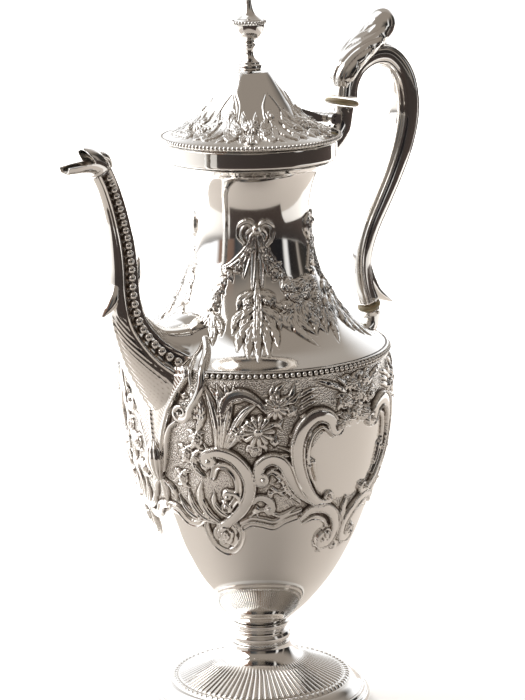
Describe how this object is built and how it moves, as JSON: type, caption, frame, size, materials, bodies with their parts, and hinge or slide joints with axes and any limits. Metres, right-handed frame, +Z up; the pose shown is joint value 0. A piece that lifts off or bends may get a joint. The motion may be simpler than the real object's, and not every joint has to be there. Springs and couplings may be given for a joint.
{
  "type": "coffee pot",
  "caption": "Urn-shaped silver coffee pot on a round foot, with a horn spout, hinged domed lid, urn finial and an insulated scroll handle.",
  "frame": {"origin": "centre of the foot's bottom circle, on the surface the pot stands on", "axes": "+Z up along the pot's turned axis, -X towards the spout, +X towards the handle, Y across, with the wide chased reserve on the -Y side"},
  "size_m": [0.1914, 0.1108, 0.3],
  "materials": {
    "body_silver": "polished raised and chased silver sheet, warm tarnish left in the recesses",
    "trim_silver": "polished cast and drawn silver fittings",
    "pin_silver": "plain drawn silver, less polished",
    "insulator": "aged ivory-coloured hard insulator, semi-gloss"
  },
  "bodies": {
    "pot": {"foot_dome": "body_silver", "foot_rim_wire": "trim_silver", "foot_notched_wire": "trim_silver", "stem_collar": "trim_silver", "lower_body": "body_silver", "shoulder_bead_wire": "trim_silver", "upper_body": "body_silver", "neck_band": "trim_silver", "hinge_body_leaf": "trim_silver", "hinge_pin": "pin_silver", "handle_grip": "trim_silver", "handle_upper_socket": "trim_silver", "handle_lower_socket": "trim_silver", "handle_upper_insulator": "insulator", "handle_lower_insulator": "insulator", "handle_pin_1": "pin_silver", "handle_pin_2": "pin_silver", "handle_pin_3": "pin_silver", "handle_pin_4": "pin_silver", "thumb_leaf": "trim_silver", "handle_spur_leaf": "trim_silver", "spout_shell": "body_silver", "spout_lip": "trim_silver", "spout_bead_wire_left": "trim_silver", "spout_bead_wire_right": "trim_silver", "spout_frame_left": "trim_silver", "spout_frame_right": "trim_silver", "spout_pendant": "trim_silver", "spout_spur_leaf": "trim_silver"},
    "lid": {"lid_dome": "body_silver", "lid_bead_wire": "trim_silver", "lid_bezel": "body_silver", "finial_pedestal": "trim_silver", "finial_urn": "trim_silver", "finial_bead_rim": "trim_silver", "finial_spire": "trim_silver", "finial_stud": "pin_silver", "finial_washer": "pin_silver", "finial_nut": "pin_silver", "hinge_lid_leaf": "trim_silver"}
  },
  "joints": [
    {"name": "lid_hinge", "type": "hinge", "parent": "pot", "child": "lid", "pos_m": [0.0418, 0, 0.243], "axis": [0, 1, 0], "range_deg": [0, 72]}
  ]
}
